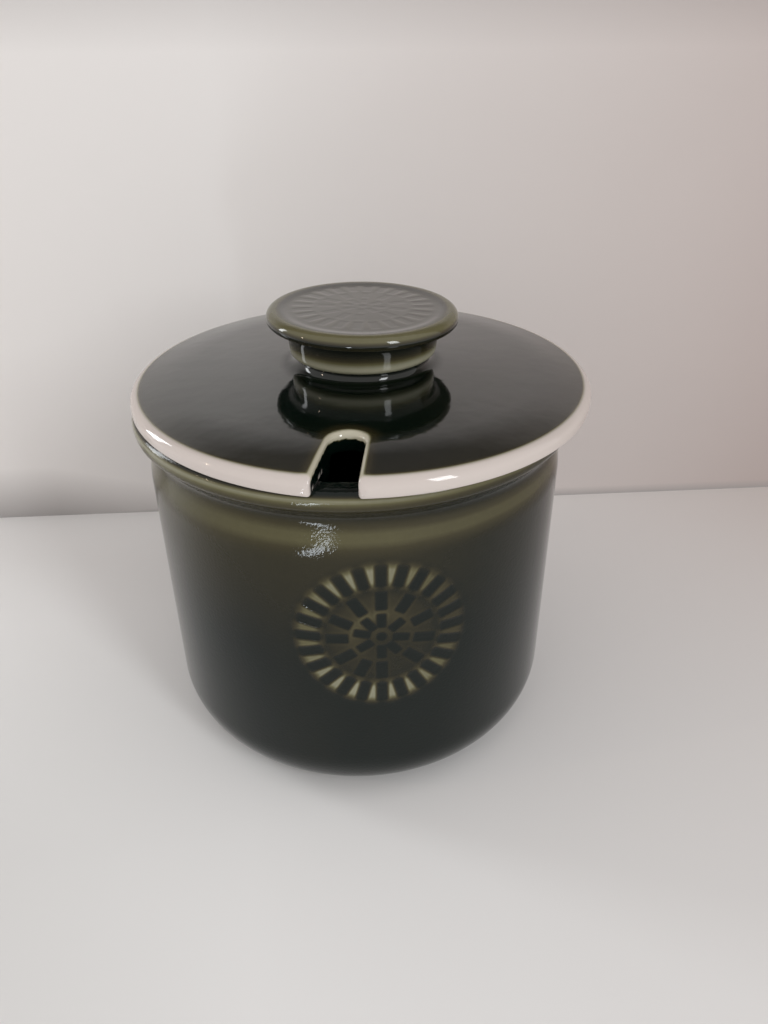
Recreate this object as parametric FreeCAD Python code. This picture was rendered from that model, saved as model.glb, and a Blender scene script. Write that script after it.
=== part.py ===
# Lidded jam pot of glazed stoneware: a round pot with a rolled rim, and a lid with a
# spoon notch and a disc-shaped knob. The front of the pot and the top of the knob carry
# the same stamp, three rings of short radial bars round a dot.
# Millimetres, +Z up. The origin is on the pot's axis, at the surface that it stands on.
# The stamp on the pot faces -Y. The lid lies loose on the rim, a little off centre.
import FreeCAD, Part
import math
import os

# ---- pot -----------------------------------------------------------------------------
pot_height = 83.0             # foot to the top of the rim, where the lid is seated
body_radius = 46.5            # outside of the straight wall
wall = 4.2
floor_thickness = 5.0
base_rounding = 14.0          # outside, wall to foot
inner_rounding = 10.0         # inside, wall to floor
flange_overhang = 2.1         # how far the rolled rim stands out past the wall
flange_height = 3.4           # of its upright side; below it slopes in to the neck
flange_top_rounding = 2.0
flange_bottom_rounding = 1.7
rim_inner_rounding = 2.0
neck_drop = 6.8               # from the top of the rim down to the neck's narrowest place
neck_inset = 1.1              # how far the neck under the rim lies inside the wall
neck_rounding = 3.0
shoulder_height = 5.2         # from the end of the straight wall up to the neck
shoulder_rounding = 12.0

# ---- lid -----------------------------------------------------------------------------
lid_overhang = 1.4            # how far the lid's edge stands out past the rolled rim
lid_edge_height = 3.3
lid_edge_rounding = 2.0
lid_crown_setback = 9.0       # from the edge to where the top turns from steeper to flatter
lid_crown_height = 4.62
lid_crown_rounding = 80.0
underside_recess = 1.0        # how far the middle of the underside is hollowed
ring_depth = 3.5              # the locating ring that hangs inside the pot's mouth
ring_thickness = 3.0
ring_clearance = 0.35         # left between ring and mouth on the side it has slid to
lid_slide = 1.75              # how far the lid lies off the pot's axis, along +X
lid_turn = -10.8              # degrees about Z that bring the notch left of the stamp
small_rounding = 0.8

notch_reach = 15.5            # from the lid's edge to the round inner end
notch_mouth_width = 8.7
notch_end_radius = 3.5
notch_skew = -5.4             # degrees that the notch is turned out of the radial direction
notch_pivot = 8.0             # from the lid's edge to the point that it is turned about

knob_radius = 20.55
knob_height = 17.95           # crest of the knob's rim above the seat
knob_edge_thickness = 2.85
knob_edge_top_rounding = 1.8
knob_edge_bottom_rounding = 0.9
dish_depth = 0.45             # of the flat middle of the knob's top, inside its rim
dish_rim_width = 2.9
dish_slope_width = 1.75
dish_rounding = 4.0
knob_overhang = 4.05          # how far the knob's disc stands out past the collar
collar_taper = 0.6            # how much less the collar's radius is at its lower edge
collar_bottom = 8.75          # height of the collar's lower edge above the seat
collar_rounding = 0.9
knob_cove_rounding = 2.3
collar_step = 1.5             # how far the collar's lower edge stands out past the neck
neck_top = 8.3
neck_foot_height = 6.2        # where the neck runs out on the lid's top
neck_foot_rounding = 1.9

# ---- stamp ---------------------------------------------------------------------------
stamp_drop = 33.8             # from the top of the rim down to the centre of the stamp
stamp_depth = 0.8
stamp_corner = 0.35           # rounding of each bar's corners
outer_bar_count = 24
outer_bar_inner_end = 12.25
outer_bar_length = 4.95
outer_bar_width = 2.35
middle_bar_directions = [0, 32, 68, 101, 133, 180, 206, 236, 268, 296, 328]
middle_bar_inner_end = 6.6
middle_bar_length = 4.45
middle_bar_width = 2.3
inner_bar_directions = [0, 50, 99, 142, 180, 237, 283, 322]
inner_bar_inner_end = 2.25
inner_bar_length = 3.4
inner_bar_width = 1.9
dot_radius = 1.05
knob_stamp_margin = 0.75      # between the knob's stamp and the foot of the dish's slope
knob_stamp_offset = 1.2       # how far the knob's stamp lies behind the knob's centre

# ---- what follows from these ---------------------------------------------------------
mouth_radius = body_radius - wall
flange_radius = body_radius + flange_overhang
lid_radius = flange_radius + lid_overhang
lid_crown_radius = lid_radius - lid_crown_setback
flange_bottom = pot_height - flange_height
neck_level = pot_height - neck_drop
ring_outer_radius = mouth_radius - lid_slide - ring_clearance
ring_inner_radius = ring_outer_radius - ring_thickness
knob_edge_bottom = knob_height - knob_edge_thickness
dish_radius = knob_radius - dish_rim_width - dish_slope_width
collar_radius = knob_radius - knob_overhang
collar_foot_radius = collar_radius - collar_taper
neck_radius = collar_foot_radius - collar_step
stamp_height = pot_height - stamp_drop
stamp_radius = outer_bar_inner_end + outer_bar_length
knob_stamp_scale = (dish_radius - knob_stamp_margin) / stamp_radius

UP = FreeCAD.Vector(0, 0, 1)
ORIGIN = FreeCAD.Vector(0, 0, 0)


def rounded_face(corners):
    """Face in the XZ plane inside a closed outline of (radius, height, rounding) corners."""
    count = len(corners)
    starts = []
    ends = []
    edges = []
    for i in range(count):
        here = FreeCAD.Vector(corners[i][0], 0, corners[i][1])
        before = FreeCAD.Vector(corners[i - 1][0], 0, corners[i - 1][1])
        after = FreeCAD.Vector(corners[(i + 1) % count][0], 0, corners[(i + 1) % count][1])
        back = (before - here).normalize()
        ahead = (after - here).normalize()
        rounding = corners[i][2]
        if rounding == 0:
            starts.append(here)
            ends.append(here)
            continue
        half = back.getAngle(ahead) / 2
        starts.append(here + back * (rounding / math.tan(half)))
        ends.append(here + ahead * (rounding / math.tan(half)))
        toward = (back + ahead).normalize()
        middle = here + toward * (rounding / math.sin(half) - rounding)
        edges.append(Part.Arc(starts[i], middle, ends[i]).toShape())
    for i in range(count):
        start = ends[i]
        end = starts[(i + 1) % count]
        if (end - start).Length > 1e-6:
            edges.append(Part.LineSegment(start, end).toShape())
    wire = Part.Wire(Part.__sortEdges__(edges))
    return Part.Face(wire)


def turned(corners):
    """Solid of revolution about Z of a rounded outline."""
    return rounded_face(corners).revolve(ORIGIN, UP, 360)


def rounded_bar(width, length, depth):
    """Bar centred on the origin: width along X, length along Z, twice the depth along Y."""
    corner = FreeCAD.Vector(-width / 2, -depth, -length / 2)
    block = Part.makeBox(width, 2 * depth, length, corner)
    along_depth = [edge for edge in block.Edges if abs(edge.tangentAt(edge.FirstParameter).y) > 0.5]
    return block.makeFillet(stamp_corner, along_depth)


def stamp_tools(scale):
    """The stamp's bars as (tool, its distance from the middle, direction), at that scale.

    Each tool is centred on the surface Y = 0 and points up; directions are in degrees,
    clockwise from straight up, for someone who looks at the stamp.
    """
    outer_directions = [360 * i / outer_bar_count for i in range(outer_bar_count)]
    rings = [
        (outer_bar_width, outer_bar_length, outer_bar_inner_end, outer_directions),
        (middle_bar_width, middle_bar_length, middle_bar_inner_end, middle_bar_directions),
        (inner_bar_width, inner_bar_length, inner_bar_inner_end, inner_bar_directions),
    ]
    tools = []
    for width, length, inner_end, directions in rings:
        bar = rounded_bar(width * scale, length * scale, stamp_depth)
        distance = (inner_end + length / 2) * scale
        for direction in directions:
            tools.append((bar, distance, direction))
    dot_base = FreeCAD.Vector(0, -stamp_depth, 0)
    dot = Part.makeCylinder(dot_radius * scale, 2 * stamp_depth, dot_base, FreeCAD.Vector(0, 1, 0))
    tools.append((dot, 0, 0))
    return tools


def stamp_on_wall():
    """Tools of the pot's stamp, wrapped round the wall so that each is square to it."""
    placed = []
    for bar, distance, direction in stamp_tools(1.0):
        tool = bar.copy()
        turn = math.radians(direction)
        across = distance * math.sin(turn)
        height = stamp_height + distance * math.cos(turn)
        tool.rotate(ORIGIN, FreeCAD.Vector(0, 1, 0), direction)
        tool.translate(FreeCAD.Vector(0, -body_radius, height))
        tool.rotate(ORIGIN, UP, math.degrees(across / body_radius))
        placed.append(tool)
    return placed


def stamp_on_knob():
    """Tools of the knob's stamp, laid flat on the dish; its top bar points to +Y."""
    centre = FreeCAD.Vector(0, knob_stamp_offset, knob_height - dish_depth)
    placed = []
    for bar, distance, direction in stamp_tools(knob_stamp_scale):
        tool = bar.copy()
        tool.translate(FreeCAD.Vector(0, 0, distance))
        tool.rotate(ORIGIN, FreeCAD.Vector(0, 1, 0), direction)
        tool.rotate(ORIGIN, FreeCAD.Vector(1, 0, 0), -90)
        tool.translate(centre)
        placed.append(tool)
    return placed


def notch_tool():
    """Cutter of the spoon notch: a slot from the edge at -Y that narrows to a round end."""
    below = -ring_depth - 1
    height = knob_height - below
    end_y = -(lid_radius - notch_reach + notch_end_radius)
    mouth_y = -(lid_radius + 2)
    half_mouth = notch_mouth_width / 2
    left = FreeCAD.Vector(-half_mouth, mouth_y, below)
    right = FreeCAD.Vector(half_mouth, mouth_y, below)
    end_left = FreeCAD.Vector(-notch_end_radius, end_y, below)
    end_right = FreeCAD.Vector(notch_end_radius, end_y, below)
    end_top = FreeCAD.Vector(0, end_y + notch_end_radius, below)
    edges = [
        Part.LineSegment(end_left, left).toShape(),
        Part.LineSegment(left, right).toShape(),
        Part.LineSegment(right, end_right).toShape(),
        Part.Arc(end_right, end_top, end_left).toShape(),
    ]
    slot = Part.Face(Part.Wire(edges)).extrude(UP * height)
    slot.rotate(FreeCAD.Vector(0, -(lid_radius - notch_pivot), 0), UP, notch_skew)
    return slot


def make_pot():
    """Pot: one turned solid with the stamp pressed into its front."""
    outline = [
        (0, 0, 0),
        (body_radius, 0, base_rounding),
        (body_radius, neck_level - shoulder_height, shoulder_rounding),
        (body_radius - neck_inset, neck_level, neck_rounding),
        (flange_radius, flange_bottom, flange_bottom_rounding),
        (flange_radius, pot_height, flange_top_rounding),
        (mouth_radius, pot_height, rim_inner_rounding),
        (mouth_radius, floor_thickness, inner_rounding),
        (0, floor_thickness, 0),
    ]
    return turned(outline).cut(stamp_on_wall())


def make_lid():
    """Lid and knob: one turned solid, with the notch and the knob's stamp cut into it."""
    dish_height = knob_height - dish_depth
    outline = [
        (0, underside_recess, 0),
        (ring_inner_radius, underside_recess, small_rounding),
        (ring_inner_radius, -ring_depth, small_rounding),
        (ring_outer_radius, -ring_depth, small_rounding),
        (ring_outer_radius, 0, small_rounding),
        (lid_radius, 0, small_rounding),
        (lid_radius, lid_edge_height, lid_edge_rounding),
        (lid_crown_radius, lid_crown_height, lid_crown_rounding),
        (neck_radius, neck_foot_height, neck_foot_rounding),
        (neck_radius, neck_top, collar_rounding / 3),
        (collar_foot_radius, collar_bottom, collar_rounding),
        (collar_radius, knob_edge_bottom, knob_cove_rounding),
        (knob_radius, knob_edge_bottom, knob_edge_bottom_rounding),
        (knob_radius, knob_height, knob_edge_top_rounding),
        (knob_radius - dish_rim_width, knob_height, dish_rounding),
        (dish_radius, dish_height, dish_rounding),
        (0, dish_height, 0),
    ]
    lid = turned(outline).cut([notch_tool()] + stamp_on_knob())
    lid.rotate(ORIGIN, UP, lid_turn)
    lid.translate(FreeCAD.Vector(lid_slide, 0, pot_height))
    return lid


os.makedirs("parts", exist_ok=True)
for name, shape in [("pot", make_pot()), ("lid", make_lid())]:
    solid = shape.Solids[0]
    box = solid.BoundBox
    print(name, "solids", len(shape.Solids), "valid", solid.isValid(), "volume", round(solid.Volume))
    print("  x", round(box.XMin, 2), round(box.XMax, 2), "y", round(box.YMin, 2), round(box.YMax, 2),
          "z", round(box.ZMin, 2), round(box.ZMax, 2))
    solid.exportStep("parts/" + name + ".step")
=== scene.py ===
# %% [markdown]
# # A glazed jam pot with a notched lid
# The pot is stoneware under a transparent dark green glaze. Where the glaze lies thick it is
# almost black, and where it runs thin over an edge the pale clay shows through as khaki or
# cream. So almost everything that the eye reads here is one number, the thickness of
# the glaze, and this lesson works that number out together with the shape.
#
# First comes the frame: the packed CAD model. It gives the sizes, and each piece made below
# takes the place of one of its nodes.

import math

import bmesh
import bpy
import numpy as np
from mathutils import Matrix, Vector


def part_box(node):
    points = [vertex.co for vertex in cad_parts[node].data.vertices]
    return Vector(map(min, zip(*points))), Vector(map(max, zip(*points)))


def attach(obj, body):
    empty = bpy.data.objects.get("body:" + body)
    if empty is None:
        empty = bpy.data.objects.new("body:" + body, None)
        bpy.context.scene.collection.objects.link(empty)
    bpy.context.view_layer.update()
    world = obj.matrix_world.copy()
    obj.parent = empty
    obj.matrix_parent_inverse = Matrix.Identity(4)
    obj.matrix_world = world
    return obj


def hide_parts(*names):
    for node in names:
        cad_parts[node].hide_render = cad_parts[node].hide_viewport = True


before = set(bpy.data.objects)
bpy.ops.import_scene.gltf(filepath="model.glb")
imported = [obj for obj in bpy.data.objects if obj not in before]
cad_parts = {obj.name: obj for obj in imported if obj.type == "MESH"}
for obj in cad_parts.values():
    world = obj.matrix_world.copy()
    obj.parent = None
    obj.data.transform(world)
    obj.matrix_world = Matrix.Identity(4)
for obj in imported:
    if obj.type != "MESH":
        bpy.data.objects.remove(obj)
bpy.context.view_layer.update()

# %% [markdown]
# A potter thinks in millimetres, and a mesh is in metres. The shapes are worked out in
# millimetres, and turned into metres at the moment when they are put in a mesh. The sizes
# that the frame can tell are read from it, and the rest are the potter's own measures. Heights
# on the pot count from the table, and heights on the lid from the seat, where it rests.

# %% Sizes
MM = 0.001
pot_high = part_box("pot")[1] / MM
lid_low, lid_high = (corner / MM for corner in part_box("lid"))

seat = round(pot_high.z, 2)                       # top of the rim
flange_radius = round(pot_high.x, 1)              # of the rolled rim
body_radius = flange_radius - 2.1
mouth_radius = body_radius - 4.2                  # the wall is 4.2 thick
floor_thickness = 5.0
lid_radius = round((lid_high.x - lid_low.x) / 2, 1)
lid_slide = round((lid_high.x + lid_low.x) / 2, 2)
lid_turn = math.radians(-10.8)
knob_height = round(lid_high.z - seat, 2)
print("seat", seat, "flange", flange_radius, "lid", lid_radius, "slide", lid_slide, "knob", knob_height)

# %% [markdown]
# Clay and glaze have no sharp borders. Two small functions say so everywhere below: a soft
# step from 0 to 1, and a hump that is 1 in one place and fades on both sides of it.

# %% Soft steps and humps
def smooth(low, high, value):
    """0 below low, 1 above high, and an S-shaped cubic between them."""
    t = np.clip((value - low) / (high - low), 0, 1)
    return t * t * (3 - 2 * t)


def hump(value, centre, width):
    """A bell curve: 1 at the centre, and 0.37 as far as width away from it."""
    return np.exp(-((value - centre) / width) ** 2)


print("a soft step:", smooth(0, 1, np.linspace(0, 1, 5)), "a hump:", hump(np.arange(3), 0, 1).round(2))

# %% [markdown]
# Both pieces are round, so each is a profile turned about an axis. A profile could be
# a Bezier curve, but its handles say nothing about sizes. Here it is a list of corners, each
# with the radius of its rounding, as a draughtsman writes it. The corners become straight runs
# and arcs, and then points that lie close together where the surface needs detail.

# %% Profiles from rounded corners
arc_points = 40
fine_step = 0.02


def rounded_outline(corners):
    """Points along an open outline of (radius, height, rounding) corners.

    Each corner is replaced by the arc of its rounding that touches both of its sides: the
    arc's centre lies on the line that halves the corner, at rounding / sin(half the angle).
    """
    runs = [np.array([corners[0][:2]], float)]
    for before, here, after in zip(corners, corners[1:], corners[2:]):
        corner = np.array(here[:2], float)
        back = np.array(before[:2]) - corner
        ahead = np.array(after[:2]) - corner
        back = back / np.linalg.norm(back)
        ahead = ahead / np.linalg.norm(ahead)
        half = math.acos(np.clip(back @ ahead, -1, 1)) / 2
        middle = corner + (back + ahead) / np.linalg.norm(back + ahead) * here[2] / math.sin(half)
        start = corner + back * here[2] / math.tan(half) - middle
        side = np.sign(back[0] * ahead[1] - back[1] * ahead[0])
        turn = -side * np.linspace(0, math.pi - 2 * half, arc_points)[:, None]
        arc = np.cos(turn) * start + np.sin(turn) * np.array([-start[1], start[0]])
        runs.append(middle + arc)
    runs.append(np.array([corners[-1][:2]], float))
    return np.concatenate(runs)


def spaced(outline, spacing):
    """The outline's points again, as far apart as spacing(radius, height) says.

    The outline is first cut into fine steps. Each step counts as its length over the local
    spacing, and the points sit where the running total passes a whole number.
    """
    travelled = np.append(0, np.cumsum(np.hypot(*np.diff(outline, axis=0).T)))
    fine = np.arange(0, travelled[-1], fine_step)
    radius = np.interp(fine, travelled, outline[:, 0])
    height = np.interp(fine, travelled, outline[:, 1])
    total = np.append(0, np.cumsum(fine_step / spacing(radius, height)[:-1]))
    count = int(round(total[-1]))
    wanted = np.interp(np.linspace(0, total[-1], count + 1), total, fine)
    wanted[-1] = travelled[-1]
    return np.stack([np.interp(wanted, travelled, outline[:, i]) for i in (0, 1)], axis=1)


def even_steps(start, stop, step):
    """Numbers from start to stop, about step apart."""
    return np.linspace(start, stop, max(2, int(round(abs(stop - start) / step)) + 1))


print("points on one rounded corner:", len(rounded_outline([(0, 0, 0), (10, 0, 2), (10, 10, 0)])))

# %% [markdown]
# A grid of points turns into a mesh in one way only, so that is a function too. It takes
# several grids, joins them, and welds what coincides: the seam, the poles, and the walls of
# the notch. Each point also carries numbers, such as the thickness of the glaze, which the
# shader reads later as attributes.

# %% Meshes from grids
weld_distance = 2e-6                              # metres
shortest_edge = 1e-7


def surface(name, grids):
    """A mesh object from (points, values) grids.

    points has a row and a column axis and then x, y, z in millimetres; values names one
    number for each point. Each cell of a grid becomes a face of four corners. A closed mesh
    gets its faces turned outwards.
    """
    places, faces, first = [], [], 0
    for points, _ in grids:
        rows, columns = points.shape[:2]
        index = first + np.arange(rows * columns).reshape(rows, columns)
        cells = (index[:-1, :-1], index[:-1, 1:], index[1:, 1:], index[1:, :-1])
        faces.append(np.stack(cells, axis=-1).reshape(-1, 4))
        places.append(points.reshape(-1, 3) * MM)
        first += rows * columns
    mesh = bpy.data.meshes.new(name)
    mesh.from_pydata(np.concatenate(places).tolist(), [], np.concatenate(faces).tolist())
    for key in grids[0][1]:
        numbers = np.concatenate([np.ravel(values[key]) for _, values in grids])
        mesh.attributes.new(key, "FLOAT", "POINT").data.foreach_set("value", numbers)
    work = bmesh.new()
    work.from_mesh(mesh)
    bmesh.ops.remove_doubles(work, verts=work.verts, dist=weld_distance)
    bmesh.ops.dissolve_degenerate(work, edges=work.edges, dist=shortest_edge)
    open_edges = sum(not edge.is_manifold for edge in work.edges)
    if not open_edges:
        bmesh.ops.recalc_face_normals(work, faces=work.faces)
    work.to_mesh(mesh)
    work.free()
    mesh.shade_smooth()
    piece = bpy.data.objects.new(name, mesh)
    bpy.context.scene.collection.objects.link(piece)
    mesh.calc_loop_triangles()
    print(name, "triangles", len(mesh.loop_triangles), "open edges", open_edges)
    return piece


def glaze_values(thickness, clear=0, bare=0, twice=0):
    """What each point tells the glaze's material.

    thickness runs from 0, none, to 1, black-green. clear is 1 under clear glaze, bare is 1
    without any, and twice is 1 where a second coat lies on the first.
    """
    values = {"thickness": thickness.clip(0, 1), "clear": clear, "bare": bare, "twice": twice}
    return {key: number + 0 * thickness for key, number in values.items()}


print("a point carries", list(glaze_values(np.ones(1))))

# %% [markdown]
# The stamp is three rings of short radial bars round a dot, pressed into the soft clay. It
# could be cut with booleans, but a pressed edge is soft. So the stamp is a distance: how far
# each point lies from the nearest bar. The hand that cut the stamp was not even, so the bars
# of the two inner rings have their own directions.

# %% The stamp as a distance
outer_count = 24
outer_bar = (12.25, 4.95, 2.35)                   # inner end, length and width of a bar
middle_bar = (6.6, 4.45, 2.3)
inner_bar = (2.25, 3.4, 1.9)
middle_directions = [0, 32, 68, 101, 133, 180, 206, 236, 268, 296, 328]
inner_directions = [0, 50, 99, 142, 180, 237, 283, 322]
bar_corner = 0.35
dot_radius = 1.05
stamp_radius = outer_bar[0] + outer_bar[1]

stamp_bars = [(360 * i / outer_count, *outer_bar) for i in range(outer_count)]
stamp_bars += [(direction, *middle_bar) for direction in middle_directions]
stamp_bars += [(direction, *inner_bar) for direction in inner_directions]


def stamp_distance(across, up):
    """Distance in millimetres to the edge of the nearest bar, below zero inside it.

    A bar is a box with rounded corners along its direction, clockwise from straight up.
    """
    nearest = np.hypot(across, up) - dot_radius
    for direction, inner_end, length, width in stamp_bars:
        turn = math.radians(direction)
        along = across * math.sin(turn) + up * math.cos(turn) - inner_end - length / 2
        beside = across * math.cos(turn) - up * math.sin(turn)
        out_x = np.abs(beside) - width / 2 + bar_corner
        out_y = np.abs(along) - length / 2 + bar_corner
        outside = np.hypot(np.maximum(out_x, 0), np.maximum(out_y, 0))
        inside = np.minimum(np.maximum(out_x, out_y), 0)
        nearest = np.minimum(nearest, outside + inside - bar_corner)
    return nearest


samples = np.linspace(-20, 20, 5)
distances = stamp_distance(*np.meshgrid(samples, samples))
print("distance to the nearest bar, every 10 mm:", distances.round(1).tolist())

# %% [markdown]
# The glaze has all but filled the bars, so that they show as soft dents. The wedges between
# the outer bars stand a little proud and shed their glaze, most of it low down and at the top
# of the ring. A painted mask could show the same, but it would not follow a moved bar, so
# both the relief and the glaze are worked out from the distance.

# %% What the stamp does to clay and glaze
bar_dent = 0.06
wedge_rise = 0.06


def facing(outward, direction):
    """1 in the direction given in degrees, 0 opposite to it, and a cosine between them."""
    return 0.5 + 0.5 * np.cos(outward - math.radians(direction))


def stamp(across, up):
    """(height, shed): how far the stamp moves the surface, and how much glaze runs off it.

    A wedge is what lies outside every bar, between two outer bars, and within their ring: the
    product of a soft step in the distance, one in a wave with a crest for each gap, and one at
    either end of the ring.
    """
    distance = stamp_distance(across, up)
    reach = np.hypot(across, up)
    outward = np.arctan2(across, up)

    between_bars = 0.5 - 0.5 * np.cos(outer_count * outward)
    wedge = smooth(-0.45, 0.55, distance) * smooth(-0.1, 0.9, between_bars)
    wedge = wedge * smooth(10.8, 13.6, reach) * (1 - smooth(15.8, 18.8, reach))
    height = wedge_rise * wedge - bar_dent * (1 - smooth(-0.6, 0.3, distance))

    # the wedges shed most low down and at the top, and least on the right and the left
    strength = 0.50 + 0.25 * facing(outward, 200) ** 2 + 0.16 * facing(outward, 350) ** 4
    strength = strength - 0.24 * hump(outward, math.radians(75), 0.7)
    strength = strength - 0.10 * hump(outward, math.radians(-90), 0.6)

    # faint pale edges round every bar, and pale clay between the bars of the inner rings
    halo = smooth(-0.1, 0.35, distance) * (1 - smooth(0.35, 0.9, distance))
    inner_rings = (0.12 + 0.12 * facing(outward, 340)) * (1 - smooth(9.0, 13.0, reach))
    round_hub = 0.20 * hump(reach, 5.6, 1.8) * facing(outward, 320)
    low_arc = 0.10 * hump(reach, 11.5, 0.6) * facing(outward, 180) ** 4
    ridges = smooth(-0.25, 0.35, distance) * (inner_rings + round_hub + low_arc)
    return height, wedge * strength + 0.05 * halo + ridges


samples = np.linspace(-stamp_radius, stamp_radius, 69)
heights, shed_amounts = stamp(*np.meshgrid(samples, samples))
print("bars", len(stamp_bars), "from", heights.min().round(2), "to", heights.max().round(2), "mm high")
print("at most", shed_amounts.max().round(2), "of the glaze is shed")

# %% [markdown]
# The pot's wall is plain, with a rolled rim on a shallow neck. Its profile runs from the middle
# of the underside out, up the wall, over the rim, and down the inside to the middle of the
# floor, so that turning it gives a closed body with a real thickness. The columns stand close
# together at the front, where the stamp is, and further apart elsewhere.

# %% The pot's profile and columns
neck_height = seat - 6.8                          # the narrowest place under the rim
neck_radius = body_radius - 1.3
roll_bottom = seat - 3.4
stamp_height = seat - 33.8
stamp_reach = 20.0                                # how far from its centre the grid is fine
stamp_step = 0.245
plain_turn = 2.4                                  # degrees between the columns elsewhere
pot_corners = [
    (0, 0, 0),
    (body_radius, 0, 14.0),                       # the wide rounding of the foot
    (body_radius, neck_height - 7.2, 16.0),       # the shoulder
    (neck_radius, neck_height, 3.0),
    (flange_radius, roll_bottom, 1.7),            # the rolled rim, from below
    (flange_radius, seat, 2.0),
    (mouth_radius, seat, 2.0),
    (mouth_radius, floor_thickness, 10.0),        # inside, where wall and floor meet
    (0, floor_thickness, 0),
]


def pot_spacing(radius, height):
    """Fine at the stamp's height and over the rim, coarse on the base and the inside."""
    outside = radius > body_radius - 0.4
    at_stamp = outside & (np.abs(height - stamp_height) < stamp_reach - 1)
    at_rim = (height > neck_height - 2) & (radius > mouth_radius - 0.5)
    at_shoulder = outside & (height > stamp_height + stamp_reach - 1)
    coarse = np.where(radius < mouth_radius + 0.01, 3.0, 1.6)
    return np.select([at_stamp, at_rim, at_shoulder], [stamp_step, 0.42, 0.7], coarse)


def pot_columns():
    """Angles round the axis, starting at the back; the front is at -90 degrees."""
    half = math.degrees(stamp_reach / body_radius)
    fine = even_steps(-half, half, math.degrees(stamp_step / body_radius))
    right = even_steps(half, 180, plain_turn)[1:]
    left = even_steps(-180, -half, plain_turn)[:-1]
    return np.radians(np.concatenate([left, fine, right]) - 90)


pot_profile = spaced(rounded_outline(pot_corners), pot_spacing)
print("rows", len(pot_profile), "columns", len(pot_columns()))

# %% [markdown]
# Glaze flows while it melts. It leaves the rim, the roll under it and the shoulder, gathers in
# the neck and under the lid, and is thickest at the foot. Under the lid the rim's top is also
# darkened by painted shade, where the lid covers it. On this pot it ran further on one side than
# on the other. The foot ring was wiped clean, so that it doesn't stick to the kiln.

# %% The pot's glaze and its surface
thinner_upwards = 0.22                            # from the middle of the wall to the shoulder
thinner_band = 0.32                               # in the palest band, at the shoulder
thinner_roll = 0.17
thinner_crest = 0.32
thicker_neck = 0.10
under_lid_glaze_and_painted_shade = 0.5
thicker_round_stamp = 0.16
band_height = 72.1
foot_ring = 30.0                                  # inner radius of the bare ring


def pot_glaze(radius, height, arc):
    """Thickness of the glaze; arc is how far a point lies to the right of the front.

    It is 1 less the sum of soft steps and humps over the height, each times its share. Those
    on the wall are weaker or stronger to the right and to the left of the front.
    """
    outer = radius > mouth_radius + 1.0
    right = smooth(0, 24, arc) * (1 - smooth(70, 130, arc))
    left = smooth(14, 50, -arc) * (1 - smooth(70, 130, -arc))
    upwards = smooth(36, 70, height) * (1 - 0.65 * right + 0.25 * left)
    band = hump(height, band_height, 2.7 + 1.5 * left) * (1 + 0.25 * right - 0.35 * left)
    roll = smooth(roll_bottom - 0.8, roll_bottom + 0.6, height) * (radius > flange_radius - 1.6)
    crest = hump(height, seat - 1.5, 0.75) * (radius > flange_radius - 1.2)
    thickness = 1 - outer * (thinner_upwards * upwards + thinner_band * band)
    thickness += outer * thicker_neck * hump(height, neck_height, 1.2)
    # the rim's top under the lid is darker: thicker glaze, and painted shade where the lid covers it
    thickness += outer * under_lid_glaze_and_painted_shade * (1 - smooth(0.4, 1.2, seat - height))
    return thickness - thinner_roll * roll - thinner_crest * crest


def pot_surface():
    """Grid of the pot: the profile at every angle, pushed in and out by the stamp."""
    angle = pot_columns()
    radius = pot_profile[:, :1] + 0 * angle
    height = pot_profile[:, 1:] + 0 * angle
    arc = (angle + math.pi / 2) * body_radius + 0 * radius
    outside = (radius > body_radius - 1.2) & (height > 20)
    shift, shed = stamp(arc, height - stamp_height)
    stamped = outside & (np.abs(arc) < stamp_reach)
    round_stamp = 1 - smooth(15.5, 19.5, np.hypot(arc, height - stamp_height))
    thickness = pot_glaze(radius, height, arc) + thicker_round_stamp * round_stamp * outside
    thickness = thickness.clip(0, 1) - shed * stamped
    bare = smooth(foot_ring, foot_ring + 1, radius) * (1 - smooth(0.25, 0.6, height))
    radius = radius + shift * stamped
    points = np.stack([radius * np.cos(angle), radius * np.sin(angle), height], axis=-1)
    return points, glaze_values(thickness, bare=bare)


pot = surface("glazed_pot", [pot_surface()])

# %% [markdown]
# The lid has a notch for the spoon. A boolean would leave a ragged edge just where the eye
# goes, so the notch is in the grid: every row of the lid starts at one side of the notch and
# ends at the other. Inside the notch's round end a row is a full circle and closes on itself.
# The rounded lip follows from each point's distance to the notch.

# %% The notch as a distance
notch_inner = lid_radius - 15.5
notch_end = 3.5                                   # radius of its round end
notch_middle = notch_inner + notch_end
notch_mouth = 8.7 / 2
notch_slope = (notch_mouth - notch_end) / (lid_radius + 2 - notch_middle)
notch_lean = 0.094                                # sideways for each mm inwards
notch_pivot = lid_radius - 8                      # where its middle line crosses the radius
corner_rounding = 1.1                             # where the notch meets the lid's edge


def notch_half_width(radius):
    """Half the width of the notch where it crosses a circle of that radius about the lid.

    It is zero up to the round end. There the two circles cross at a known point, and past it
    the sides part evenly, and flare at the lid's edge, where the corners are rounded.
    """
    out = (radius ** 2 + notch_middle ** 2 - notch_end ** 2) / (2 * notch_middle)
    end = np.sqrt(np.maximum(radius ** 2 - out ** 2, 0)) * (radius > notch_inner)
    along = np.sqrt(np.maximum(radius ** 2 - notch_end ** 2, 0)) - notch_middle
    into = np.clip(radius - lid_radius + corner_rounding, 0, corner_rounding)
    flare = corner_rounding - np.sqrt(corner_rounding ** 2 - into ** 2)
    return np.where(out < notch_middle, end, notch_end + notch_slope * along + flare)


def notch_centre(radius):
    """Where the notch's middle line lies at a radius: it leans to the right going inwards."""
    return notch_lean * (notch_pivot - np.maximum(radius, notch_inner))


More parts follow.
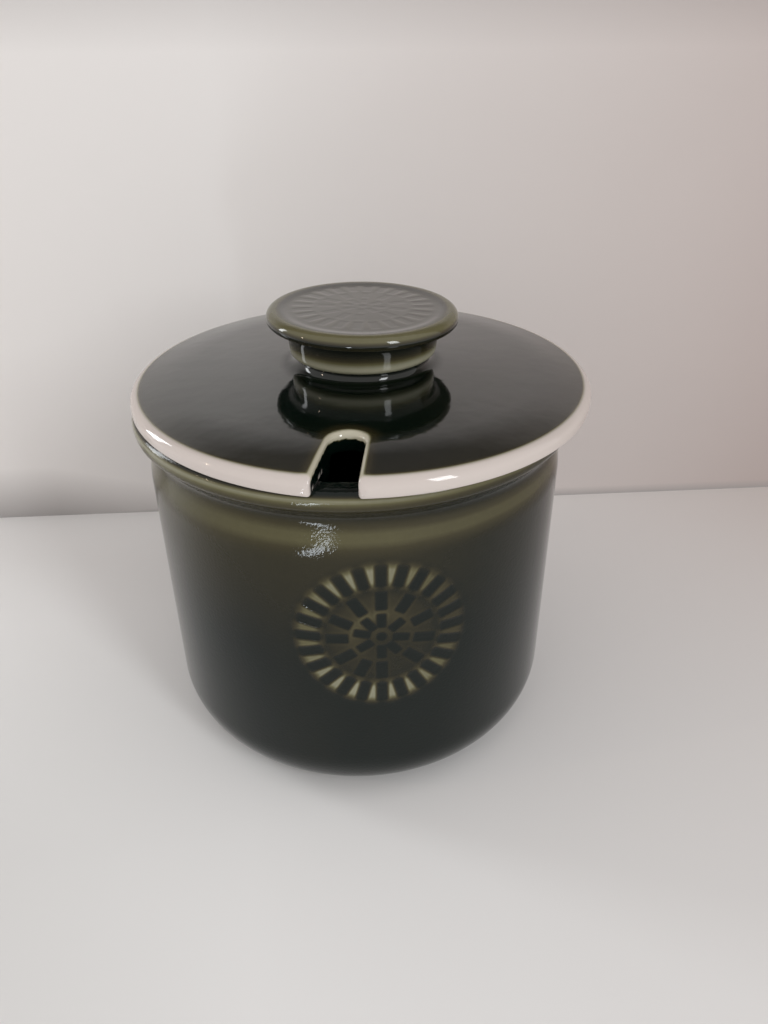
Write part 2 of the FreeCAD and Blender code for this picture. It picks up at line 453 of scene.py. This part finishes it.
def notch_distance(out, beside):
    """How far a point lies from the notch; out is measured along its middle line."""
    beside = beside - notch_centre(out)
    round_end = np.hypot(notch_middle - out, beside) - notch_end
    sides = np.abs(beside) - notch_half_width(np.hypot(out, beside))
    return np.maximum(np.where(out < notch_middle, round_end, sides), 0)


print("half widths at 34, 36, 40 and 50 mm:", notch_half_width(np.array([34.0, 36, 40, 50])).round(2))

# %% [markdown]
# The lid's top and its underside are two profiles. The knob is part of the top: its outline
# goes in under the disc, down a short collar that tapers, and in again to the knob's neck. The
# underside is slightly hollow, and carries a ring that keeps the lid from sliding off.

# %% The lid's profiles
knob_radius = 20.55
knob_bottom = knob_height - 2.85                  # lower side of the knob's disc
dish_height = knob_height - 0.32
dish_edge = knob_radius - 2.9                     # where the disc's rim starts to dip
dish_radius = dish_edge - 1.75                    # of the flat, stamped middle
collar_radius = knob_radius - 4.05
collar_foot_radius = collar_radius - 0.6
knob_neck_radius = collar_foot_radius - 1.5
knob_neck_height = 6.2                            # where the neck runs out on the lid
edge_height = 3.3
underside = 1.0
ring_outer_radius = mouth_radius - lid_slide - 0.35
ring_inner_radius = ring_outer_radius - 3.0
ring_depth = 3.5
draft = 0.2                                       # the ring's sides lean a little

crown_corners = [
    (knob_neck_radius, knob_neck_height, 1.9),
    (lid_radius - 9.0, 4.62, 80.0),               # the top gets a little steeper here
    (lid_radius, edge_height, 2.0),
    (lid_radius, underside, 0),
]
top_corners = [
    (0, dish_height, 0),
    (dish_radius, dish_height, 8.0),
    (dish_edge, knob_height, 8.0),
    (knob_radius, knob_height, 1.8),
    (knob_radius, knob_bottom, 0.9),
    (collar_radius, knob_bottom, 2.3),
    (collar_foot_radius, 8.75, 0.9),
    (knob_neck_radius, 8.3, 0.3),
] + crown_corners
under_corners = [
    (0, underside, 0),
    (ring_inner_radius - draft, underside, 0.8),
    (ring_inner_radius + draft, -ring_depth, 0.8),
    (ring_outer_radius - draft, -ring_depth, 0.8),
    (ring_outer_radius, 0, 0.6),
    (lid_radius, 0, 0.8),
    (lid_radius, underside, 0),
]


def height_along(corners, radii):
    """Height of an outline at those radii, where the outline moves outwards all the way."""
    outline = rounded_outline(corners)
    return np.interp(radii, outline[:, 0], outline[:, 1])


def lid_thickness_at(radius):
    """Thickness of the clay between top and underside, at radii that reach the notch."""
    return np.maximum(height_along(crown_corners, radius) - height_along(under_corners, radius), 0)


print("the lid is", lid_thickness_at(np.array([36.0, 42, 48])).round(2), "thick at 36, 42 and 48 mm")

# %% [markdown]
# The rows come next. Both sides use the same radii across the notch, so that the notch's
# walls can be laid between them: close together round its end and at the edge. Just inside the
# notch the rows close up, for the lip. The top's inner rows follow the knob, where the outline
# folds over on itself.

# %% Rows of the lid
edge_band = 2.2                                   # where the rows close up for the edge


def top_spacing(radius, height):
    """Fine on the knob's stamp and the small roundings of the knob."""
    on_dish = (height > dish_height - 0.01) & (radius < dish_radius + 0.5)
    on_knob = height > 6.6
    return np.select([on_dish, on_knob], [0.27, 0.5], 0.8)


def notch_radii():
    """The radii that the top and the underside share, from the notch's end to the edge."""
    bend = even_steps(0, math.pi / 2, 0.11)
    end = np.hypot(notch_middle - notch_end * np.cos(bend), notch_end * np.sin(bend))
    ring_edge = np.linspace(ring_outer_radius - 1.0, ring_outer_radius + 0.6, 10)
    plain = even_steps(end[-1] + 0.4, lid_radius - edge_band, 0.62)
    rim = lid_radius - edge_band * (1 - np.sin(even_steps(0, math.pi / 2, 0.12)))
    radii = np.sort(np.concatenate([end, ring_edge, plain, rim]))
    keep = np.append(True, np.diff(radii) > 0.012)
    return radii[keep]


shared = notch_radii()
before_notch = np.array([2.1, 1.8, 1.5, 1.2, 0.95, 0.72, 0.52, 0.35, 0.2, 0.09, 0.02])
hidden_radii = [0, 6, 12, 18, 24, 29, 32.2]       # underneath, where little is seen
outer_radii = np.concatenate([notch_inner - before_notch, shared])
whole_top = spaced(rounded_outline(top_corners), top_spacing)
past_knob = (whole_top[:, 1] < knob_neck_height + 0.1) & (whole_top[:, 0] > notch_inner - 2.5)
inner_top = whole_top[: int(np.argmax(past_knob))]
outer_top = np.stack([outer_radii, height_along(crown_corners, outer_radii)], axis=1)
top_profile = np.concatenate([inner_top, outer_top])
under_radii = np.concatenate([hidden_radii, outer_radii])
under_profile = np.stack([under_radii, height_along(under_corners, under_radii)], axis=1)
print("rows on top", len(top_profile), "underneath", len(under_profile), "shared", len(shared))

# %% [markdown]
# Every row gets the same number of columns. On the knob they are evenly spread. Towards the
# edge they crowd beside the notch, where the lip needs them.

# %% Columns of the lid
column_count = 316
side_steps = np.array([0, 0.05, 0.14, 0.27, 0.44, 0.65, 0.9, 1.2, 1.6, 2.2, 3.0])
even_inside = 24                                  # radius up to which all columns are even
crowded_outside = 33


def lid_angles(radius):
    """Angles of a row's columns, from one side of the notch round to the other.

    Near the notch the columns lie side_steps from it, and elsewhere they are even. Close to
    the axis all are even, and in between the two blend.
    """
    radius = np.maximum(radius, 0.5)[:, None]
    middle_line = notch_centre(radius) * np.minimum(radius / notch_inner, 1)
    right = np.arcsin((middle_line + notch_half_width(radius)) / radius)
    left = np.arcsin((middle_line - notch_half_width(radius)) / radius)
    span = 2 * math.pi - right + left
    column = np.arange(column_count + 1)
    last = len(side_steps) - 1
    middle = np.clip((column - last) / (column_count - 2 * last), 0, 1)
    begin = side_steps[np.minimum(column, last)] / radius
    finish = side_steps[np.minimum(column_count - column, last)] / radius
    edge = side_steps[last] / radius
    crowded = begin + middle * (span - 2 * edge) + edge - finish
    even = span * column / column_count
    share = smooth(even_inside, crowded_outside, radius)
    return -math.pi / 2 + right + (1 - share) * even + share * crowded


print("gaps beside the notch at 45 mm:", (np.diff(lid_angles(np.array([45.0]))[0])[:5] * 45).round(2))

# %% [markdown]
# The lip drops away as a quarter of a circle, and so does the notch's lower edge, with a
# smaller rounding. The kiln leaves its mark too: the knob leans a little and the edge sags
# beside the notch, where nothing holds it.

# %% Lips, and what the kiln did
lip_rounding = 0.85
lip_rounding_end = 1.2
lower_rounding = 0.4
knob_shift = 0.45
knob_lean = 0.3                                   # up and down, at the knob's edge
notch_sag = 0.42
edge_wave = 0.10


def quarter_drop(distance, rounding):
    """How far a rounded edge has dropped at that distance: a quarter of a circle."""
    rounding = np.maximum(rounding, 1e-6)
    inside = np.clip(rounding - distance, 0, rounding)
    return rounding - np.sqrt(rounding ** 2 - inside ** 2)


def lip_at(out):
    """The lip's rounding: wider round the notch's end than along its sides."""
    return lip_rounding + (lip_rounding_end - lip_rounding) * (1 - smooth(notch_inner, notch_middle, out))


def edge_distance(x, y, radius):
    """Distance to the notch, and exactly 0 in the first and last columns, which lie on it."""
    distance = notch_distance(-y, x)
    sides = distance[:, [0, -1]]
    distance[:, [0, -1]] = np.where(radius[:, [0, -1]] < notch_inner, sides, 0)
    return distance


def settle(points):
    """Lid points moved as the kiln moved them, then turned and laid on the pot.

    The knob leans and stands a little off centre, and the edge sags beside the notch.
    """
    x, y, z = np.moveaxis(points, -1, 0)
    radius = np.hypot(x, y)
    near_knob = radius < knob_radius + 1
    lean = -knob_lean / knob_radius * x * smooth(8, 15, z) * near_knob
    x = x + knob_shift * smooth(5.6, 8.6, z) * near_knob
    around = np.arctan2(x, -y)
    edge = smooth(lid_radius - 2.5, lid_radius, radius) * (z < 6)
    sag = notch_sag * hump(around, 0, 0.42) + edge_wave * np.sin(2 * around + 0.6)
    z = z + lean - edge * sag
    turned_x = x * math.cos(lid_turn) - y * math.sin(lid_turn) + lid_slide
    turned_y = x * math.sin(lid_turn) + y * math.cos(lid_turn)
    return np.stack([turned_x, turned_y, z + seat], axis=-1)


drops = quarter_drop(np.array([0, 0.2, 0.5]), lip_rounding).round(2)
print("the lip has dropped by", drops, "at 0, 0.2 and 0.5 mm from the notch")

# %% [markdown]
# The top was dipped in green glaze, and its edge wiped and dipped in clear, so the edge is
# cream-white. The glaze thins on the knob's rim, on its collar and round the notch, where a
# cream lip shows with an olive halo beside it. The lid's top and the knob's got a second coat,
# which makes them the best mirrors.

# %% The lid's top
knob_from = 6.4                                   # height where the knob begins
knob_stamp_margin = 0.75                          # left free round the stamp in the dish
knob_stamp_offset = 1.2                           # the stamp lies off centre
knob_relief = 0.55                                # how much of it shows in the dish
knob_shed = 0.22
thinner_rim = 0.55
thinner_lower_edge = 0.30
thinner_dish = 0.16
thinner_collar = 0.80
thinner_wiped_edge = 0.70
thinner_halo = 0.20


def knob_glaze(radius, height):
    """How much thinner the glaze is on the knob: its rim, its dish, and its collar."""
    rim = smooth(17.0, 18.6, radius) * smooth(knob_bottom + 1.0, knob_bottom + 1.9, height)
    lower_edge = hump(height, knob_bottom + 0.3, 0.3) * (radius > knob_radius - 1.2)
    dish = (height > dish_height - 1) & (radius < dish_radius + 1)
    collar = (height > 8.4) & (height < knob_bottom + 0.05) & (radius < collar_radius + 0.1)
    disc = thinner_rim * rim + thinner_lower_edge * lower_edge + thinner_dish * dish
    return disc + thinner_collar * collar * hump(height, 9.6, 2.0)


def lid_top():
    """Grid of the lid's top with the knob and its stamp, down to the lid's edge."""
    radius, height = top_profile[:, 0], top_profile[:, 1]
    on_lid = (height < knob_from)[:, None]
    plain = -math.pi / 2 + 2 * math.pi * np.arange(column_count + 1) / column_count
    angle = np.where(on_lid, lid_angles(radius), plain)
    radius, height = radius[:, None] + 0 * angle, height[:, None] + 0 * angle
    x, y = radius * np.cos(angle), radius * np.sin(angle)

    near_notch = on_lid & (radius > notch_inner - 3)
    distance = edge_distance(x, y, radius)
    rounding = np.minimum(lip_at(-y), 0.55 * lid_thickness_at(radius))
    height = height - near_notch * quarter_drop(distance, rounding)
    scale = (dish_radius - knob_stamp_margin) / stamp_radius
    on_dish = (radius < dish_radius) & (height > dish_height - 0.01)
    shift, shed = stamp(x / scale, (y - knob_stamp_offset) / scale)
    height = height + knob_relief * shift * on_dish

    thickness = 0.97 - 0.05 * smooth(40, 47, radius) * near_notch - knob_glaze(radius, height)
    thickness -= knob_shed * shed * on_dish
    thickness -= thinner_wiped_edge * smooth(lid_radius - 2.4, lid_radius - 1.6, radius) * on_lid
    away = distance / rounding.clip(0.3)
    halo = thinner_halo * (1 - smooth(1.4, 3.2, away))
    thickness = np.where(near_notch, (thickness - halo) * smooth(0.6, 1.35, away), thickness)

    clear = smooth(lid_radius - 1.9, lid_radius - 1.25, radius) * on_lid
    second_coat = on_lid * smooth(knob_neck_radius + 1.5, knob_neck_radius + 4, radius)
    on_knob = (1 - smooth(knob_radius - 4.5, knob_radius - 1.2, radius)) * (height > knob_height - 1.2)
    twice = np.maximum(second_coat, on_knob) * (1 - clear)
    points = settle(np.stack([x, y, height], axis=-1))
    return points, glaze_values(thickness, clear=clear, twice=twice)


top_grid = lid_top()
print("points on the lid's top:", top_grid[0].shape[0] * top_grid[0].shape[1])

# %% [markdown]
# The underside is made as the top is. Then the notch's walls are laid between the two: the
# cream lip runs a little way down them and ends in drips.

# %% The lid's underside and the notch's walls
wall_rows = np.array([0, 0.06, 0.14, 0.25, 0.45, 0.7, 1.0])


def lid_underside():
    """Grid of the underside with its locating ring; its last row meets the top's."""
    radius, height = under_profile[:, 0], under_profile[:, 1]
    angle = lid_angles(radius)
    radius, height = radius[:, None] + 0 * angle, height[:, None] + 0 * angle
    x, y = radius * np.cos(angle), radius * np.sin(angle)
    rounding = np.minimum(lower_rounding, 0.3 * lid_thickness_at(radius))
    lip = quarter_drop(edge_distance(x, y, radius), rounding)
    height = height + (radius > notch_inner - 3) * lip
    clear = smooth(ring_outer_radius + 1.2, ring_outer_radius + 2.0, radius)
    points = settle(np.stack([x, y, height], axis=-1))
    return points, glaze_values(1 - 0.2 * clear, clear=clear)


def notch_walls(top, under):
    """Grid between the notch's upper edge and its lower edge, from one side to the other.

    The upper and lower edges are the first and last columns of the two grids, so the wall
    welds to them. The drips are two sine waves along the edge.
    """
    count = len(shared)
    upper = np.concatenate([top[-count:, 0][::-1], top[-count:, -1][1:]])
    lower = np.concatenate([under[-count:, 0][::-1], under[-count:, -1][1:]])
    down = wall_rows[None, :, None]
    points = upper[:, None] * (1 - down) + lower[:, None] * down
    length = np.append(0, np.cumsum(np.linalg.norm(np.diff(upper, axis=0), axis=1)))[:, None]
    drip = 0.17 + 0.09 * np.sin(length * 3.1) + 0.06 * np.sin(length * 7.3 + 1)
    thickness = smooth(0.6 * drip, 1.6 * drip, upper[:, 2:] - points[..., 2])
    from_axis = np.hypot(points[..., 0] - lid_slide, points[..., 1])
    return points, glaze_values(thickness, clear=smooth(lid_radius - 1.4, lid_radius - 0.7, from_axis))


under_grid = lid_underside()
lid = surface("glazed_lid", [top_grid, under_grid, notch_walls(top_grid[0], under_grid[0])])

# %% [markdown]
# Both pieces wear the same glaze. A material could be painted by hand or from an image, but
# here the thickness of the glaze is already known at each point, so the material is maths on
# it. One small class wraps a node's socket, so that shader maths reads like sums.

# %% Numbers in a shader
class Value:
    """A number that varies over the surface; an operator on it adds a Math node."""

    def __init__(self, shader, socket):
        self.shader = shader
        self.socket = socket

    def math(self, operation, other):
        """A Math node on this number and another, which may be plain or vary too."""
        made = self.shader.node("ShaderNodeMath", {"operation": operation}, {0: self, 1: other})
        return Value(self.shader, made)

    def __add__(self, other):
        return self.math("ADD", other)

    def __sub__(self, other):
        return self.math("SUBTRACT", other)

    def __mul__(self, other):
        return self.math("MULTIPLY", other)

    def __rsub__(self, other):
        return (self * -1) + other

    __radd__ = __add__
    __rmul__ = __mul__

    def clamped(self):
        """The number, held between 0 and 1."""
        return self.math("MAXIMUM", 0).math("MINIMUM", 1)

    def between(self, low, high):
        """0 at low, 1 at high, straight in between and held outside."""
        return ((self - low) * (1 / (high - low))).clamped()

    def ramp(self, stops):
        """The colour at this number, on a ramp of (position, colour) stops."""
        return self.shader.node("ShaderNodeValToRGB", {"stops": stops}, {"Fac": self})


print("operators of a Value:", sorted(name for name in vars(Value) if name.startswith("__r")))

# %% [markdown]
# Any other node comes from one method: its settings go in first, because they decide which
# sockets it has, and then the values and links of its sockets.

# %% A shader's nodes
class Shader:
    """A material's node tree."""

    def __init__(self, name):
        self.material = bpy.data.materials.new(name)
        self.material.use_nodes = True
        self.tree = self.material.node_tree
        self.tree.nodes.clear()

    def node(self, kind, settings, inputs, output=0):
        """The wanted output of a new node, or all its outputs where output is None."""
        made = self.tree.nodes.new(kind)
        for key, setting in settings.items():
            if key == "stops":
                ramp = made.color_ramp
                while len(ramp.elements) < len(setting):
                    ramp.elements.new(1.0)
                for element, (position, colour) in zip(ramp.elements, setting):
                    element.position = position
                    element.color = (*colour, 1)
            else:
                setattr(made, key, setting)
        for key, given in inputs.items():
            given = given.socket if isinstance(given, Value) else given
            if isinstance(given, bpy.types.NodeSocket):
                self.tree.links.new(given, made.inputs[key])
            else:
                made.inputs[key].default_value = given
        return made.outputs if output is None else made.outputs[output]

    def attribute(self, name):
        """A number carried by the mesh."""
        return Value(self, self.node("ShaderNodeAttribute", {"attribute_name": name}, {}, output="Fac"))

    def place(self):
        """Where a point lies, in metres."""
        return self.node("ShaderNodeTexCoord", {}, {}, output="Object")

    def noise(self, scale, detail=2.0, stretch=(1, 1, 1)):
        """Soft noise between about 0.3 and 0.7, with that many cells to the metre."""
        place = self.node("ShaderNodeMapping", {}, {"Vector": self.place(), "Scale": stretch})
        inputs = {"Vector": place, "Scale": scale, "Detail": detail}
        return Value(self, self.node("ShaderNodeTexNoise", {}, inputs))

    def mix(self, share, one, other):
        """The first colour where the share is 0, and the other where it is 1."""
        inputs = {0: share, 6: one, 7: other}
        return self.node("ShaderNodeMix", {"data_type": "RGBA"}, inputs, output=2)

    def finish(self, kind, inputs):
        """Ends the tree in a surface shader of that kind, and gives the material."""
        shader = self.node(kind, {}, inputs)
        self.node("ShaderNodeOutputMaterial", {}, {"Surface": shader}, output=None)
        return self.material


print("methods of a Shader:", [name for name in vars(Shader) if not name.startswith("__")])

# %% [markdown]
# The glaze is glass over pale clay. Thin, it is cream with a breath of green, then khaki and
# olive, and thick it is black-green. Real glaze never lies quite evenly, so a slow noise
# shifts the thickness a little, and a fine one mottles it. A bump of real depth roughens the
# pot like orange peel and gives the lid soft waves. Where the green was wiped off the lid's
# edge, a clear glaze shows the white clay.

# %% The glaze
glaze_colours = [
    (0.00, (0.47, 0.44, 0.34)),
    (0.22, (0.245, 0.24, 0.168)),
    (0.42, (0.110, 0.101, 0.049)),
    (0.62, (0.042, 0.036, 0.016)),
    (0.82, (0.018, 0.0165, 0.0075)),
    (1.00, (0.0014, 0.0050, 0.0036)),
]
white_clay = (0.575, 0.515, 0.48, 1)
bare_clay = (0.42, 0.36, 0.27, 1)


def glaze_material(name, bending, cells, relief):
    """Dark green glaze, clear over white where the piece says so, and bare on the foot.

    bending is the glass's index of refraction. Its surface has cells waves to the metre,
    relief metres deep.
    """
    shader = Shader(name)
    slow = shader.noise(45, stretch=(1, 1, 0.45))
    fine = shader.noise(900, detail=3.0)
    thickness = shader.attribute("thickness") + (slow - 0.5) * 0.10 + (fine - 0.5) * 0.03
    green = thickness.clamped().ramp(glaze_colours)
    glazed = shader.mix(shader.attribute("clear"), green, white_clay)
    bare = shader.attribute("bare")
    bump = shader.node("ShaderNodeBump", {}, {"Height": shader.noise(cells), "Distance": relief})
    base = {"Base Color": shader.mix(bare, glazed, bare_clay), "Roughness": bare * 0.7 + 0.055}
    glass = {"IOR": bending, "Normal": bump, "Coat Weight": shader.attribute("twice") * 0.5}
    coat = {"Coat IOR": 1.6, "Coat Roughness": 0.05}
    return shader.finish("ShaderNodeBsdfPrincipled", {**base, **glass, **coat})


pot.data.materials.append(glaze_material("glaze with orange peel", 1.37, 1900, 0.00004))
lid.data.materials.append(glaze_material("glaze with soft waves", 1.50, 170, 0.00008))
for piece, node in ((pot, "pot"), (lid, "lid")):
    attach(piece, "root")
    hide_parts(node)
print("materials", [material.name for material in bpy.data.materials])

# %% [markdown]
# The pot stands on a pale tabletop close to a pale wall. Dark glaze is mostly mirror, so the
# floor and the wall matter as much as the lamps: the body shows the floor in front of it, and
# the lid shows the wall. Both are plain sheets. The floor carries painted shade to the right and
# at the front left. The wall is seen only from the pot's side, so that a camera behind it looks
# through, and painted shade darkens it to the right, upwards and towards its foot.

# %% Paper for the floor and the wall
def paper_colour(name, colour_at):
    """A new shader, and the colour that colour_at works out from x, y and z in metres."""
    shader = Shader(name)
    axes = shader.node("ShaderNodeSeparateXYZ", {}, {"Vector": shader.place()}, output=None)
    return shader, colour_at(shader, *(Value(shader, axis) for axis in axes))


def floor_colour(shader, x, y, z):
    """Palest in the middle, with painted warm shade to the right and painted grey shade at the front
    left.
    """
    # painted shade: warm and darker to the right, and grey at the front left
    right_painted_shade = x.between(0.02, 0.19) * y.between(-0.16, 0.06)
    front_left_painted_shade = x.between(-0.03, -0.13) * y.between(0.03, -0.05)
    pale = shader.mix(front_left_painted_shade, (0.80, 0.795, 0.79, 1), (0.62, 0.615, 0.605, 1))
    return shader.mix(right_painted_shade, pale, (0.60, 0.545, 0.52, 1))


def wall_colour(shader, x, y, z):
    """Painted shade: paler on the left and darker and warmer to the right, and darker high up; a painted
    shadow at the foot, which reaches higher on the left.
    """
    # painted shade: darker and warmer to the right, and much darker high up
    painted_wall_shade = shader.mix(x.between(-0.03, 0.16), (0.80, 0.775, 0.76, 1), (0.50, 0.435, 0.415, 1))
    painted_wall_shade = shader.mix(z.between(0.146, 0.20) * 0.85, painted_wall_shade, (0.10, 0.08, 0.075, 1))
    # a painted shadow along the wall's foot, reaching higher on the left
    left_foot = z.between(-0.002, 0.020) + x.between(-0.10, -0.01)
    foot = left_foot.clamped().math("MINIMUM", z.between(-0.001, 0.0035))
    return shader.mix(foot, (0.36, 0.345, 0.34, 1), painted_wall_shade)


def tabletop_paper():
    """Matt pale paper."""
    shader, colour = paper_colour("pale tabletop", floor_colour)
    return shader.finish("ShaderNodeBsdfPrincipled", {"Base Color": colour, "Roughness": 0.9})


def wall_paper():
    """Matt pale paper that can be looked through from behind."""
    shader, colour = paper_colour("pale wall", wall_colour)
    front = shader.node("ShaderNodeBsdfDiffuse", {}, {"Color": colour})
    back = shader.node("ShaderNodeBsdfTransparent", {}, {})
    behind = shader.node("ShaderNodeNewGeometry", {}, {}, output="Backfacing")
    return shader.finish("ShaderNodeMixShader", {0: behind, 1: front, 2: back})


tabletop = tabletop_paper()
wall_cover = wall_paper()
print("papers:", tabletop.name, "and", wall_cover.name)

# %% [markdown]
# A sheet is the simplest grid of all. The floor is wide enough to fill every view. The wall
# stands just behind the pot, and is turned a little away from it on the right.

# %% Floor and wall
floor_reach = 900
wall_distance = 87.0
wall_slope = math.tan(math.radians(-3.6))


def sheet(name, across, along, place):
    """A flat grid: place(u, v) gives the points for every pair of u and v."""
    u, v = np.meshgrid(across, along)
    return surface(name, [(np.stack(place(u, v), axis=-1), {})])


def on_floor(u, v):
    """A point on the floor: u to the right, v away from the front."""
    return u, v, 0 * u


def on_wall(u, v):
    """A point on the wall: u to the right, v upwards."""
    return u, wall_distance + wall_slope * u, v


floor_steps = np.linspace(-floor_reach, floor_reach, 3)
floor = sheet("floor", floor_steps, floor_steps, on_floor)
wall = sheet("wall", np.linspace(-230, 700, 3), np.linspace(0, 600, 3), on_wall)
floor.data.materials.append(tabletop)
wall.data.materials.append(wall_cover)

# %% [markdown]
# The room has two windows and a small warm bulb. A tall window stands ahead of the pot on the
# right, and one is on the far left. A strip of daylight on the tabletop, in front on the left,
# gives the rough bright patch on the shoulder. The world is the pale room itself. The lamps
# don't show to the camera.

# %% Light
daylight = (0.96, 0.99, 1.0)
aim_height = 0.075                                # in metres, as every size in this cell


def lamp(name, size, power, colour):
    """A rectangular soft lamp, still at the origin and facing down."""
    light = bpy.data.lights.new(name, "AREA")
    light.shape = "RECTANGLE"
    light.size, light.size_y = size
    light.energy = power
    light.color = colour
    holder = bpy.data.objects.new(name, light)
    holder.visible_camera = False
    bpy.context.scene.collection.objects.link(holder)
    return holder


def aim(holder, azimuth, elevation, distance):
    """Moves a lamp to where it faces the pot's neck; azimuth 0 is in front, 90 on the right."""
    turn, rise = math.radians(azimuth), math.radians(elevation)
    level = math.cos(rise)
    way = Vector((math.sin(turn) * level, -math.cos(turn) * level, math.sin(rise)))
    holder.location = Vector((0, 0, aim_height)) + way * distance
    holder.rotation_euler = (-way).to_track_quat("-Z", "Y").to_euler()


world = bpy.data.worlds.new("pale room")
world.use_nodes = True
background = world.node_tree.nodes["Background"]
background.inputs["Color"].default_value = (1.0, 0.965, 0.95, 1)
background.inputs["Strength"].default_value = 0.80
bpy.context.scene.world = world
aim(lamp("tall window", (0.16, 0.42), 2.3, daylight), 31, 27, 0.9)
aim(lamp("far window", (0.20, 0.30), 1.6, daylight), -117, 16, 0.7)
aim(lamp("bulb", (0.012, 0.012), 0.10, (1.0, 0.80, 0.60)), -79, 20, 0.6)
strip = lamp("daylight on the tabletop", (0.016, 0.190), 0.18, (0.85, 0.93, 1.0))
strip.location = (-0.101, -0.251, 0.002)
strip.rotation_euler = (math.pi, 0, math.radians(-9.5))
bpy.context.scene.view_settings.view_transform = "Standard"
print("lamps", [light.name for light in bpy.data.lights])

# %% [markdown]
# The camera looks down at the lid from some 20 cm away, a little from the left. A wide lens
# that close makes the pot narrow visibly towards its foot.

# %% Camera
camera_data = bpy.data.cameras.new("camera")
camera_data.sensor_fit = "VERTICAL"
camera_data.sensor_height = 36
camera_data.lens = 27.74
camera_data.clip_start = 0.01
camera = bpy.data.objects.new("camera", camera_data)
bpy.context.scene.collection.objects.link(camera)
eye = Vector((-14.2, -165.2, 151.7)) * MM
look = Vector((0.10579, 0.84471, -0.52466))
roll = math.radians(-0.49)
turn = look.to_track_quat("-Z", "Y").to_matrix() @ Matrix.Rotation(roll, 3, "Z")
camera.matrix_world = Matrix.Translation(eye) @ turn.to_4x4()
bpy.context.scene.camera = camera
print("camera at", tuple(round(part, 4) for part in eye), "roll", round(math.degrees(roll), 2))

# %% [markdown]
